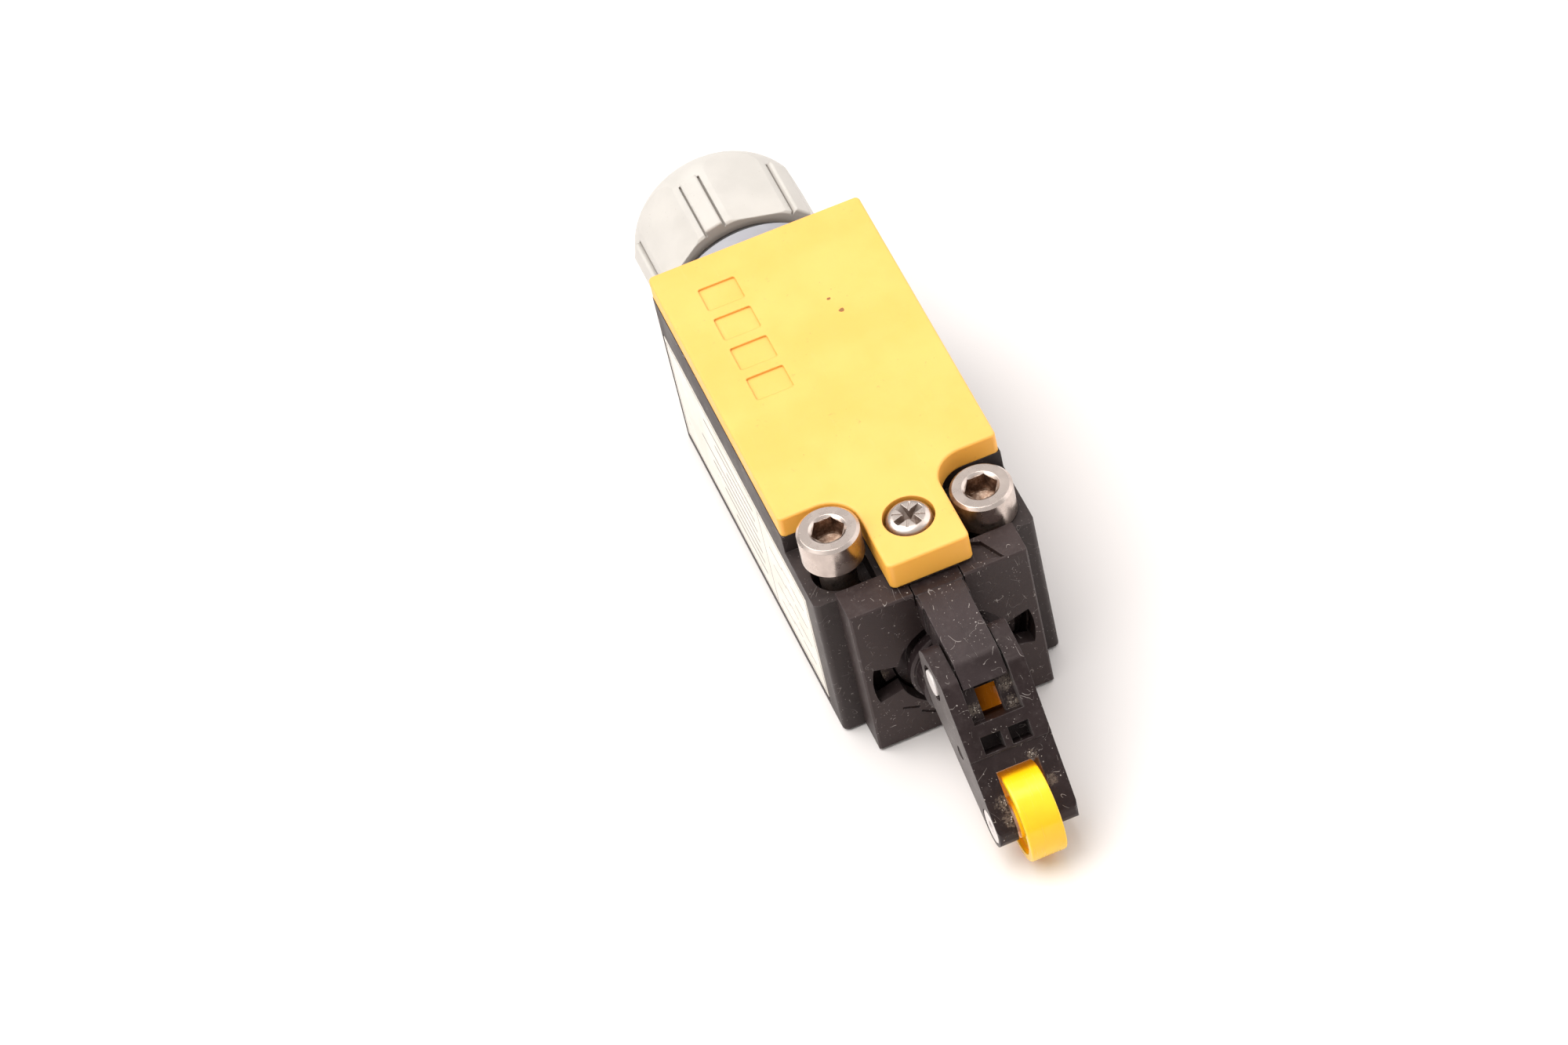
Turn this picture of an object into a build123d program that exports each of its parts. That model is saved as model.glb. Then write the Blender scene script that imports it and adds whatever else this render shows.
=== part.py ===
from build123d import *
import math
import os

# Limit switch with an angled roller lever, lying on its mounting face.
# +Z is the outward normal of the yellow cover, -Y points to the actuator, +Y to the cable gland.
# Origin: middle of the two fixing holes, on the mounting face. Millimetres.

# ---- driving dimensions: body -------------------------------------------------------------
BODY_W = 31.0
BODY_L = 61.0
FRONT_Y = -4.7
FAR_Y = FRONT_Y + BODY_L
HALF_W = BODY_W / 2
RIM_Z = 28.0                 # joint between housing and cover
COVER_TOP_Z = 31.4
SHOULDER_Z = 25.1            # step that the fixing screws press on
SHOULDER_Y = 6.2
WALL = 2.5
FLOOR = 2.5
CAVITY_Y0, CAVITY_Y1 = 8.5, FAR_Y - 2.8
LABEL_DEPTH = 0.2

# ---- fixing screws and cover screw --------------------------------------------------------
FIX_X = 10.5
FIX_HOLE_R = 2.75
POCKET_R = 3.5
POCKET_Z = 21.0
M5_R, M5_HEAD_R, M5_HEAD_H, M5_LEN, M5_HEX = 2.5, 4.2, 5.0, 25.0, 4.0
LEFT_PROUD = 3.2             # the left screw is loose by this much
COVER_SCREW_Y = -1.45
COVER_SCREW_R, COVER_HEAD_R, COVER_HEAD_H = 1.5, 3.1, 2.85

# ---- cover --------------------------------------------------------------------------------
COVER_HALF_W = 15.4
TONGUE_HALF_W = 5.78
TONGUE_Y = -8.45
TONGUE_Z = 27.2
COVER_PLATE = 1.9
BLOCK_X0, BLOCK_X1 = -10.2, -4.9      # plain sunk blocks beside the cover's left edge
BLOCK_YS = (27.6, 33.8, 40.0, 46.2)
BLOCK_LEN, BLOCK_DEPTH = 4.4, 0.3

# ---- head and bayonet ---------------------------------------------------------------------
HEAD_HALF_W = 12.47
HEAD_Y = -10.03
HEAD_Z0, HEAD_Z1 = 0.25, 26.45
AXIS_Z = 12.3                # plunger axis
BAYONET_R = 7.9
LOBE_R = 11.4
LOBE_HALF_DEG = 16.5
LOBE_FLOOR_Y = HEAD_Y + 2.6
GROOVE_Y0, GROOVE_Y1 = HEAD_Y + 2.1, -5.5
SPIGOT_R = 6.8
BORE_R = 4.2
NOTCH_HALF_W = 3.55

# ---- adapter ------------------------------------------------------------------------------
COLLAR_R = 5.9
COLLAR_RIM_R = 6.55
COLLAR_Y = -14.9
ARM_HALF_W = 3.1
PIVOT_Y, PIVOT_Z = -19.9, 20.5
PIVOT_PIN_R = 1.8
RUNNING = 0.05               # radial clearance of a running fit
PLUNGER_R = 3.4
ARM_BOSS_R = 2.7
PLUNGER_TIP_Y = -19.2
PLUNGER_BACK_Y = -6.0

# ---- lever and roller ---------------------------------------------------------------------
BEND_Y, BEND_Z = -24.3, 24.0
FORK_HALF = 3.4              # half the gap between the cheeks, round the arm
SLOT_HALF = 2.9              # half the roller slot
ROLLER_Y, ROLLER_Z = -34.45, 6.9
ROLLER_R = 6.2
ROLLER_HALF_W = 2.5
ROLLER_PIN_R = 1.9
TIP_R = 2.9
LEVER_PIN_HALF_L = 5.95
ROLLER_PIN_HALF_L = 5.55
PIN_RIVET_R = 2.4            # riveted ends of the roller pin
PLUNGER_TRAVEL = 3.15        # at 18 degrees of lever travel

# ---- contact block ------------------------------------------------------------------------
BASE_HALF_W = 12.5
BASE_Y0, BASE_Y1 = 9.8, 46.0
BASE_Z0, BASE_Z1 = FLOOR + 0.1, 17.0
CHANNEL_HALF = 3.2
CHANNEL_Z = 6.0
CHAMBER_Y0, CHAMBER_Y1 = 15.4, 33.2
CHAMBER_HALF = 11.6
CHAMBER_Z = 8.8
STRIP = 1.0                  # thickness of a fixed contact
BRIDGE_T = 0.8
NC_PAD_Y = CHAMBER_Y0 + STRIP + 0.4
NO_PAD_Y = CHAMBER_Y1 - STRIP - 0.4
TERMINAL_X = 8.2
TERMINAL_YS = {"nc": 12.9, "no": 36.2}
CARRIER_Y0, CARRIER_Y1 = 10.6, 34.2

# ---- cable gland --------------------------------------------------------------------------
GLAND_Z = 14.0
GLAND_AF = 24.2
GLAND_TURN_DEG = -15.7       # how far the dome nut happens to be turned
GLAND_THREAD_R = 9.85
NECK_R = 10.5
WASHER_R, WASHER_T = 12.9, 1.5
GLAND_COLLAR_R = 12.3
COLLAR_FAR_Y = FAR_Y + 7.3
NUT_Y0, NUT_Y1 = 65.2, 82.2
NUT_RIB_Y1 = 75.85
NUT_RIB_R, NUT_RIB_W = 13.35, 2.6
NUT_CORNER_R = 12.75
NUT_BORE_R = 10.75
NUT_MOUTH_R = 6.6
CABLE_R = 4.5

os.makedirs("parts", exist_ok=True)


# ---- helpers ------------------------------------------------------------------------------
def block(x0, x1, y0, y1, z0, z1):
    return Pos((x0 + x1) / 2, (y0 + y1) / 2, (z0 + z1) / 2) * Box(x1 - x0, y1 - y0, z1 - z0)


def rod_x(r, x0, x1, y, z):
    return Pos((x0 + x1) / 2, y, z) * Rot(0, 90, 0) * Cylinder(r, x1 - x0)


def rod_y(r, y0, y1, x=0.0, z=AXIS_Z):
    return Pos(x, (y0 + y1) / 2, z) * Rot(90, 0, 0) * Cylinder(r, y1 - y0)


def rod_z(r, z0, z1, x, y):
    return Pos(x, y, (z0 + z1) / 2) * Cylinder(r, z1 - z0)


def prism_x(points, half, rounds=()):
    """A side outline of (y, z) points, spread to both sides of the middle plane."""
    face = make_face(Polyline(*points, close=True))
    for corner, radius in rounds:
        face = fillet(face.vertices().sort_by_distance((*points[corner], 0))[0], radius)
    return Pos(-half, 0, 0) * extrude(Plane.YZ * face, 2 * half)


def turned_y(points, z=AXIS_Z):
    """A closed outline of (radius, y) points, turned about the plunger or gland axis."""
    face = make_face(Polyline(*points, close=True))
    return Pos(0, 0, z) * revolve(face, Axis.Y, 360)


def mirrored(solid):
    return solid + mirror(solid, Plane.YZ)


def on_lever(along, below):
    """Side view point: along the lever's top face from the bend, and square below that face."""
    run = math.hypot(TOP_DY, TOP_DZ)
    dy, dz = TOP_DY / run, TOP_DZ / run
    return (BEND_Y + dy * along - dz * below, BEND_Z + dz * along + dy * below)


def spring_y(radius, wire, y0, y1, turns, x=0.0, z=AXIS_Z):
    path = Helix(pitch=(y1 - y0 - 2 * wire) / turns, height=y1 - y0 - 2 * wire, radius=radius)
    section = Plane(origin=path @ 0, z_dir=path % 0) * Circle(wire)
    coil = sweep(section, path, is_frenet=True)
    return Pos(x, y0 + wire, z) * Rot(-90, 0, 0) * coil


def save(name, solid):
    export_step(solid, f"parts/{name}.step")


# The top face runs from the bend to its tangent point on the round tip.
TIP_TAN_Y, TIP_TAN_Z = ROLLER_Y - 0.78 * TIP_R, ROLLER_Z + 0.62 * TIP_R
TOP_DY, TOP_DZ = TIP_TAN_Y - BEND_Y, TIP_TAN_Z - BEND_Z


# ---- housing and cover --------------------------------------------------------------------
def housing():
    body = block(-HALF_W, HALF_W, FRONT_Y, FAR_Y, 0, RIM_Z)
    body = fillet(body.edges().filter_by(Axis.Z), 0.8)
    body = chamfer(body.edges().filter_by(Plane.XY).sort_by(Axis.Z)[:8], 0.4)
    shoulder = block(-20, 20, FRONT_Y - 1, SHOULDER_Y, SHOULDER_Z, RIM_Z + 1)
    pedestal = block(-5.5, 5.5, FRONT_Y, SHOULDER_Y, SHOULDER_Z - 1, TONGUE_Z)
    body = body - shoulder + pedestal
    pocket = block(6.3, FIX_X + POCKET_R, -POCKET_R, POCKET_R, POCKET_Z, SHOULDER_Z + 4)
    pocket = fillet(pocket.edges().filter_by(Axis.Z).sort_by(Axis.X)[2:], POCKET_R - 0.05)
    hole = rod_z(FIX_HOLE_R, -1, SHOULDER_Z + 1, FIX_X, 0)
    body -= mirrored(pocket + hole)
    cavity = block(-HALF_W + WALL, HALF_W - WALL, CAVITY_Y0, CAVITY_Y1, FLOOR, RIM_Z + 1)
    body -= fillet(cavity.edges().filter_by(Axis.Z), 1.5)
    body -= rod_y(SPIGOT_R + 0.1, FRONT_Y - 1, CAVITY_Y0 + 1)
    body -= rod_y(GLAND_THREAD_R + 0.05, CAVITY_Y1 - 1, FAR_Y + 1, z=GLAND_Z)
    body -= rod_z(COVER_SCREW_R + 0.1, 20.2, TONGUE_Z + 1, 0, COVER_SCREW_Y)
    body -= gasket_ring(0.0)
    body -= block(-HALF_W - 1, -HALF_W + LABEL_DEPTH, 0.0, FAR_Y - 1.0, 1.4, 21.8)
    return body


def gasket_ring(gap):
    outer = block(-14.7 + gap, 14.7 - gap, 6.9 + gap, FAR_Y - 0.9 - gap, RIM_Z - 0.9, RIM_Z)
    inner = block(-13.5 - gap, 13.5 + gap, 8.0 - gap, CAVITY_Y1 + 0.6 + gap, RIM_Z - 2, RIM_Z + 1)
    return outer - inner


def front_cover():
    r = 4.4
    plate = Pos(0, (SHOULDER_Y + FAR_Y) / 2) * Rectangle(2 * COVER_HALF_W, FAR_Y - SHOULDER_Y)
    tongue_len = SHOULDER_Y - TONGUE_Y + 2
    tongue = Pos(0, TONGUE_Y + tongue_len / 2) * Rectangle(2 * TONGUE_HALF_W, tongue_len)
    outline = plate + tongue
    for side in (-1, 1):
        outline = fillet(outline.vertices().sort_by_distance((side * TONGUE_HALF_W, SHOULDER_Y, 0))[0], r)
        outline = fillet(outline.vertices().sort_by_distance((side * TONGUE_HALF_W, TONGUE_Y, 0))[0], 0.9)
        outline = fillet(outline.vertices().sort_by_distance((side * COVER_HALF_W, SHOULDER_Y, 0))[0], 0.7)
        outline = fillet(outline.vertices().sort_by_distance((side * COVER_HALF_W, FAR_Y, 0))[0], 0.7)
    body = Pos(0, 0, TONGUE_Z) * extrude(outline, COVER_TOP_Z - TONGUE_Z)
    body = fillet(body.faces().sort_by(Axis.Z)[-1].edges(), 0.35)
    body -= block(-20, 20, SHOULDER_Y, FAR_Y + 1, TONGUE_Z - 1, RIM_Z)
    # The fillets beside the tongue end at the shoulder line, so the housing keeps clear of them.
    body -= mirrored(block(TONGUE_HALF_W, 20, 0, SHOULDER_Y + 1, TONGUE_Z - 1, RIM_Z + 0.1))
    body -= block(-12.9, 12.9, 8.9, CAVITY_Y1 - 0.2, RIM_Z - 1, COVER_TOP_Z - COVER_PLATE)
    body -= rod_z(COVER_SCREW_R + 0.3, TONGUE_Z - 1, COVER_TOP_Z + 1, 0, COVER_SCREW_Y)
    body -= rod_z(COVER_HEAD_R + 0.4, COVER_TOP_Z - 2.5, COVER_TOP_Z + 1, 0, COVER_SCREW_Y)
    for y in BLOCK_YS:
        sunk = block(BLOCK_X0, BLOCK_X1, y, y + BLOCK_LEN, COVER_TOP_Z - BLOCK_DEPTH, COVER_TOP_Z + 1)
        body -= fillet(sunk.edges().filter_by(Axis.Z), 0.3)
    return body


def socket_screw(x, seat_z):
    top = seat_z + M5_HEAD_H
    screw = rod_z(M5_HEAD_R, seat_z, top, x, 0)
    screw = chamfer(screw.edges().sort_by(Axis.Z)[-1], 0.4)
    screw = chamfer(screw.edges().sort_by(Axis.Z)[0], 0.25)
    shank = rod_z(M5_R, seat_z - M5_LEN, seat_z + 0.5, x, 0)
    screw += chamfer(shank.edges().sort_by(Axis.Z)[0], 0.5)
    hexagon = Pos(x, 0, top - 3.0) * extrude(RegularPolygon(M5_HEX / 2, 6, major_radius=False), 4)
    screw -= hexagon
    screw -= Pos(x, 0, top - 3.25) * Cone(0.1, M5_HEX / 2, 0.6)
    screw -= Pos(x, 0, top - 0.15) * Cone(M5_HEX / 2 + 0.15, M5_HEX / 2 + 0.55, 0.35)
    return screw


def cover_screw():
    z0 = COVER_TOP_Z - 2.5
    head = rod_z(COVER_HEAD_R, z0, z0 + COVER_HEAD_H, 0, COVER_SCREW_Y)
    head = fillet(head.edges().sort_by(Axis.Z)[-1], 1.1)
    screw = head + rod_z(COVER_SCREW_R, z0 - 8.0, z0 + 0.5, 0, COVER_SCREW_Y)
    top = z0 + COVER_HEAD_H
    funnel = Pos(0, COVER_SCREW_Y, top - 0.85) * Cone(0.75, 2.3, 1.9)
    for turn in (0, 90):
        arm = Box(4.6, 1.0, 4.0) + Rot(0, 0, 45) * Pos(0, 0, 0.85) * Box(4.4, 0.3, 1.0)
        screw -= (Pos(0, COVER_SCREW_Y, top - 0.5) * Rot(0, 0, turn + 20) * arm) & funnel
    return screw


# ---- head and adapter ---------------------------------------------------------------------
def sector(radius, y0, y1, half_deg, turn_deg):
    wedge = [(0, 0)] + [
        (2 * radius * math.cos(math.radians(a)), 2 * radius * math.sin(math.radians(a)))
        for a in (turn_deg - half_deg, turn_deg + half_deg)
    ]
    face = Circle(radius) & make_face(Polyline(*wedge, close=True))
    return Pos(0, y1, AXIS_Z) * extrude(Plane.XZ * face, y1 - y0)


def head_block():
    body = block(-HEAD_HALF_W, HEAD_HALF_W, HEAD_Y, FRONT_Y, HEAD_Z0, HEAD_Z1)
    body = chamfer(body.edges().group_by(Axis.Y)[0], 0.25)
    body = body + rod_y(SPIGOT_R, FRONT_Y - 0.5, CAVITY_Y0 - 0.2)
    body -= rod_y(BAYONET_R, HEAD_Y - 1, GROOVE_Y1)
    body -= rod_y(LOBE_R - 0.2, GROOVE_Y0, GROOVE_Y1)
    for turn in (0, 180):
        body -= sector(LOBE_R, HEAD_Y - 1, LOBE_FLOOR_Y, LOBE_HALF_DEG, turn)
        body += sector(LOBE_R - 1.9, LOBE_FLOOR_Y, GROOVE_Y1, LOBE_HALF_DEG, turn) - rod_y(
            BAYONET_R, HEAD_Y, GROOVE_Y1 + 1
        )
    body -= rod_y(BORE_R, GROOVE_Y1 - 1, 5.5)
    body -= rod_y(2.3, 5, CAVITY_Y0 + 1)
    body -= block(-NOTCH_HALF_W, NOTCH_HALF_W, HEAD_Y - 1, HEAD_Y + 2.1, 24.2, HEAD_Z1 + 1)
    ramp = make_face(Polyline((5.8, -4.9), (7.6, -5.7), (9.4, -9.6), (5.8, -8.7), close=True))
    body -= Pos(0, 0, HEAD_Z1 - 0.8) * extrude(ramp, 2)
    for x, z, turn, length in ((-7.1, 6.0, 23.5, 2.5), (-4.9, 4.0, 33.5, 2.3)):
        body -= Pos(x, HEAD_Y, z) * Rot(0, turn, 0) * Box(length, 0.5, 0.4)
    return body


def adapter_bracket():
    tube = turned_y([
        (PLUNGER_R + RUNNING, COLLAR_Y), (COLLAR_R - 0.4, COLLAR_Y), (COLLAR_R, COLLAR_Y + 0.4),
        (COLLAR_R, HEAD_Y - 1.3), (COLLAR_RIM_R - 0.3, HEAD_Y - 1.3), (COLLAR_RIM_R, HEAD_Y - 1.0),
        (COLLAR_RIM_R, HEAD_Y + 0.3), (COLLAR_R, HEAD_Y + 0.3), (COLLAR_R, HEAD_Y + 2.4),
        (BAYONET_R - 0.3, HEAD_Y + 2.4), (BAYONET_R - 0.3, GROOVE_Y1 - 0.2),
        (BORE_R, GROOVE_Y1 - 0.2), (BORE_R, -9.2), (PLUNGER_R + RUNNING, -9.2),
    ])
    for turn in (90, 270):
        tube += sector(LOBE_R - 0.5, GROOVE_Y0 + 0.2, GROOVE_Y1 - 0.2, 14.0, turn) - rod_y(
            COLLAR_R, HEAD_Y, FRONT_Y
        )
    arm = prism_x([
        (HEAD_Y - 0.12, 20.3), (-12.7, 20.3), (-12.9, 17.2), (COLLAR_Y + 0.1, 17.2), (-17.2, 18.2),
        (PIVOT_Y, PIVOT_Z), (-23.5, 21.3), (-24.8, 22.5), (-22.2, 25.0), (HEAD_Y - 0.12, 26.3),
    ], ARM_HALF_W, rounds=[(8, 1.6)])
    arm += rod_x(ARM_BOSS_R, -ARM_HALF_W, ARM_HALF_W, PIVOT_Y, PIVOT_Z)
    arm += block(-ARM_HALF_W - 0.25, ARM_HALF_W + 0.25, -12.4, HEAD_Y - 0.12, 20.8, 25.9)
    arm += block(-ARM_HALF_W - 0.25, ARM_HALF_W + 0.25, HEAD_Y - 0.2, HEAD_Y + 2.0, 24.35, 26.35)
    arm -= rod_x(PIVOT_PIN_R + RUNNING, -5, 5, PIVOT_Y, PIVOT_Z)
    arm -= rod_y(COLLAR_R - 1.2, COLLAR_Y - 3, HEAD_Y)
    for x in (-2.2, 0.15):
        arm -= Pos(x, -16.5, 25.72) * Rot(6.2, 0, 0) * Box(0.16, 11.5, 0.24)
    return tube + arm


def adapter_plunger():
    return turned_y([
        (0, PLUNGER_TIP_Y), (PLUNGER_R - 0.25, PLUNGER_TIP_Y), (PLUNGER_R, PLUNGER_TIP_Y + 0.25),
        (PLUNGER_R, -8.9), (BORE_R - 0.3, -8.9), (BORE_R - 0.3, PLUNGER_BACK_Y), (0, PLUNGER_BACK_Y),
    ])


def lever():
    outline = [
        (-16.2, 16.9), (-16.2, 24.75), (BEND_Y, BEND_Z), (TIP_TAN_Y, TIP_TAN_Z),
        (ROLLER_Y, ROLLER_Z), (ROLLER_Y + 0.54 * TIP_R, ROLLER_Z - 0.84 * TIP_R), (-17.5, 14.5),
    ]
    body = prism_x(outline, 8, rounds=[(1, 2.4), (2, 1.2)])
    body += rod_x(TIP_R, -8, 8, ROLLER_Y, ROLLER_Z)
    tip_y = ROLLER_Y - TIP_R + 0.05
    plan = make_face(Polyline((-5.9, -14), (5.9, -14), (5.54, tip_y), (-5.54, tip_y), close=True))
    plan = fillet(plan.vertices().sort_by(Axis.Y)[:2], 0.6)
    body = body & extrude(plan, 40)
    void = [on_lever(-14, -4), on_lever(13.1, -4), on_lever(13.1, 14), on_lever(-14, 14)]
    body -= prism_x(void, FORK_HALF)
    slot = [on_lever(12.85, -4), on_lever(30, -4), on_lever(30, 14), on_lever(12.85, 14)]
    sweep_room = rod_x(ROLLER_R + 0.4, -SLOT_HALF, SLOT_HALF, ROLLER_Y, ROLLER_Z)
    web = [
        on_lever(1.7, 2.2), on_lever(6.2, 2.2), on_lever(6.2, 0), on_lever(13.2, 0),
        on_lever(13.2, 4.2), on_lever(1.7, 4.2),
    ]
    rib_foot = on_lever(8.3, 11.2)
    rib = [on_lever(8.2, 3.5), on_lever(9.9, 3.5), on_lever(9.7, 11.2), on_lever(7.1, 10.9)]
    body += prism_x(web, FORK_HALF + 0.1) - rod_x(ARM_BOSS_R + 0.35, -5, 5, PIVOT_Y, PIVOT_Z)
    body += prism_x(rib, 2.6) + rod_x(1.4, -2.6, 2.6, *rib_foot)
    body -= prism_x(slot, SLOT_HALF) + sweep_room
    window = [on_lever(0, 1), on_lever(6.2, 1), on_lever(6.2, 6), on_lever(0, 6)]
    body -= prism_x(window, 1.5)
    pocket = [on_lever(7.9, -1), on_lever(10.2, -1), on_lever(10.2, 3.5), on_lever(7.9, 3.5)]
    body -= prism_x(pocket, 3.35) - prism_x(pocket, 0.5)
    step = [on_lever(10.55, -2), on_lever(26, -2), on_lever(26, 0.15), on_lever(10.55, 0.15)]
    body -= prism_x(step, 8)
    body -= rod_x(PIVOT_PIN_R, -8, 8, PIVOT_Y, PIVOT_Z)
    body -= mirrored(rod_x(2.5, LEVER_PIN_HALF_L - 0.75, 8, PIVOT_Y, PIVOT_Z))
    body -= rod_x(ROLLER_PIN_R, -8, 8, ROLLER_Y, ROLLER_Z)
    body -= mirrored(rod_x(PIN_RIVET_R + 0.05, ROLLER_PIN_HALF_L - 0.4, 8, ROLLER_Y, ROLLER_Z))
    body -= mirrored(rod_x(1.0, 5.55, 8, -26.8, 13.7))
    return body


def lever_pin():
    body = rod_x(PIVOT_PIN_R, -LEVER_PIN_HALF_L, LEVER_PIN_HALF_L, PIVOT_Y, PIVOT_Z)
    return chamfer(body.edges().filter_by(GeomType.CIRCLE), 0.1)


def roller_pin():
    half = ROLLER_PIN_HALF_L
    rivet = rod_x(PIN_RIVET_R, half - 0.4, half, ROLLER_Y, ROLLER_Z)
    rivet = chamfer(rivet.edges().filter_by(GeomType.CIRCLE).sort_by(Axis.X)[-1], 0.1)
    body = rod_x(ROLLER_PIN_R, -half + 0.3, half - 0.3, ROLLER_Y, ROLLER_Z) + mirrored(rivet)
    return body - mirrored(rod_x(0.8, half - 0.5, half + 1, ROLLER_Y, ROLLER_Z))


def roller():
    w, r = ROLLER_HALF_W, ROLLER_R
    wheel = rod_x(r, -w, w, ROLLER_Y, ROLLER_Z)
    wheel = fillet(wheel.edges().filter_by(GeomType.CIRCLE), 0.3)
    for x0, x1 in ((-w - 1, -w + 0.7), (w - 0.7, w + 1)):
        wheel -= rod_x(r - 1.1, x0, x1, ROLLER_Y, ROLLER_Z) - rod_x(2.8, x0, x1, ROLLER_Y, ROLLER_Z)
    return wheel - rod_x(ROLLER_PIN_R + RUNNING, -w - 1, w + 1, ROLLER_Y, ROLLER_Z)


# ---- contact block ------------------------------------------------------------------------
def contact_base():
    body = block(-BASE_HALF_W, BASE_HALF_W, BASE_Y0, BASE_Y1, BASE_Z0, BASE_Z1)
    body -= block(-CHAMBER_HALF, CHAMBER_HALF, CHAMBER_Y0, CHAMBER_Y1, CHAMBER_Z, BASE_Z1 + 1)
    body -= block(-CHANNEL_HALF, CHANNEL_HALF, BASE_Y0 - 1, BASE_Y1 - 1.2, CHANNEL_Z, BASE_Z1 + 1)
    for y in TERMINAL_YS.values():
        body -= mirrored(rod_z(1.7, 8, BASE_Z1 + 1, TERMINAL_X, y))
    return body


def contact_cap():
    body = block(-BASE_HALF_W, BASE_HALF_W, 16.8, 31.8, BASE_Z1 + 0.05, BASE_Z1 + 1.6)
    grooves = [block(-9, 9, y - 0.3, y + 0.3, BASE_Z1 + 1.2, BASE_Z1 + 2) for y in (21.5, 24.3, 27.1)]
    return body - grooves[0] - grooves[1] - grooves[2]


def fixed_contact(kind, side):
    inner, outer = 5.0, 11.5
    if kind == "nc":
        y0, y1, tab0, tab1, pad_y = CHAMBER_Y0, CHAMBER_Y0 + STRIP, 10.0, CHAMBER_Y0, NC_PAD_Y
        pad = rod_y(1.2, y1, pad_y, 7.0, 12.0)
    else:
        y0, y1, tab0, tab1, pad_y = CHAMBER_Y1 - STRIP, CHAMBER_Y1, CHAMBER_Y1, 39.4, NO_PAD_Y
        pad = rod_y(1.2, pad_y, y0, 7.0, 12.0)
    strip = block(inner, outer, y0, y1, CHAMBER_Z + 0.1, BASE_Z1 + STRIP) + pad
    strip += block(inner, outer, tab0, tab1, BASE_Z1, BASE_Z1 + STRIP)
    strip -= rod_z(1.8, BASE_Z1 - 1, BASE_Z1 + 3, TERMINAL_X, TERMINAL_YS[kind])
    return strip if side == "right" else mirror(strip, Plane.YZ)


def clamp_plates():
    z0 = BASE_Z1 + STRIP
    plates = []
    for y in TERMINAL_YS.values():
        plate = block(TERMINAL_X - 2.9, TERMINAL_X + 2.9, y - 2.6, y + 2.6, z0, z0 + 0.9)
        plate -= rod_z(1.8, z0 - 1, z0 + 2, TERMINAL_X, y)
        plates += [plate, mirror(plate, Plane.YZ)]
    return Compound(plates)


def terminal_screws():
    z0 = BASE_Z1 + STRIP + 0.9
    screws = []
    for y in TERMINAL_YS.values():
        screw = rod_z(2.7, z0, z0 + 1.9, TERMINAL_X, y)
        screw = fillet(screw.edges().sort_by(Axis.Z)[-1], 0.6)
        screw += rod_z(1.6, z0 - 7.5, z0 + 0.5, TERMINAL_X, y)
        for turn in (20, 110):
            screw -= Pos(TERMINAL_X, y, z0 + 1.7) * Rot(0, 0, turn) * Box(3.6, 0.7, 1.6)
        screws += [screw, mirror(screw, Plane.YZ)]
    return Compound(screws)


def contact_carrier():
    half = CHANNEL_HALF - 0.3
    body = block(-half, half, CARRIER_Y0, CARRIER_Y1, CHANNEL_Z + 0.2, BASE_Z1 - 0.3)
    no_side = NO_PAD_Y - PLUNGER_TRAVEL
    for front, back in ((NC_PAD_Y, NC_PAD_Y + 5.4), (no_side - 5.6, no_side - 0.05)):
        body -= block(-half - 1, half + 1, front, back, 9.8, 14.2)
    return body


def bridge(y0):
    bar = block(-8.6, 8.6, y0, y0 + BRIDGE_T, 10.2, 13.8)
    return fillet(bar.edges().filter_by(Axis.Y), 0.8)


def switch_plunger():
    return turned_y([
        (0, PLUNGER_BACK_Y + 0.1), (BORE_R - 0.3, PLUNGER_BACK_Y + 0.1), (BORE_R - 0.3, -4.6),
        (2.2, -4.6), (2.2, CARRIER_Y0), (0, CARRIER_Y0),
    ])


def plunger_seal():
    return turned_y([(2.25, 1.6), (BORE_R, 1.6), (BORE_R, 4.6), (2.6, 4.6), (2.25, 3.6)])


# ---- cable gland --------------------------------------------------------------------------
def hex_prism(across_flats, y0, y1, turn_deg):
    face = Rot(0, 0, turn_deg) * RegularPolygon(across_flats / 2, 6, major_radius=False)
    return Pos(0, y1, GLAND_Z) * extrude(Plane.XZ * face, y1 - y0)


def gland_washer():
    inner, far = GLAND_THREAD_R + 0.1, FAR_Y + WASHER_T
    return turned_y([
        (inner, FAR_Y), (WASHER_R - 0.3, FAR_Y), (WASHER_R, FAR_Y + 0.3), (WASHER_R, far - 0.3),
        (WASHER_R - 0.3, far), (inner, far),
    ], GLAND_Z)


def gland_body():
    near = FAR_Y + WASHER_T
    body = turned_y([
        (0, near), (GLAND_COLLAR_R, near), (GLAND_COLLAR_R, COLLAR_FAR_Y - 0.4),
        (GLAND_COLLAR_R - 0.4, COLLAR_FAR_Y), (0, COLLAR_FAR_Y),
    ], GLAND_Z)
    body += rod_y(GLAND_THREAD_R, CAVITY_Y1 - 3.0, near + 1, z=GLAND_Z)
    body += rod_y(NECK_R, COLLAR_FAR_Y - 1, 74.0, z=GLAND_Z)
    body -= rod_y(6.2, CAVITY_Y1 - 4, 66.0, z=GLAND_Z)
    return body - rod_y(8.6, 65.5, 75.0, z=GLAND_Z)


def gland_o_ring():
    return Pos(0, COLLAR_FAR_Y + 0.5, GLAND_Z) * Rot(90, 0, 0) * Torus(NECK_R + 0.5, 0.5)


def gland_cage():
    ring = turned_y([
        (7.4, 67.0), (8.4, 67.0), (8.4, 75.5), (7.6, 79.2), (6.8, 79.2), (7.4, 75.5),
    ], GLAND_Z)
    for k in range(8):
        cut = Rot(0, 22.5 + 45 * k, 0) * Pos(7.6, 76.8, 0) * Box(3, 6, 1.1)
        ring -= Pos(0, 0, GLAND_Z) * cut
    return ring


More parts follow.
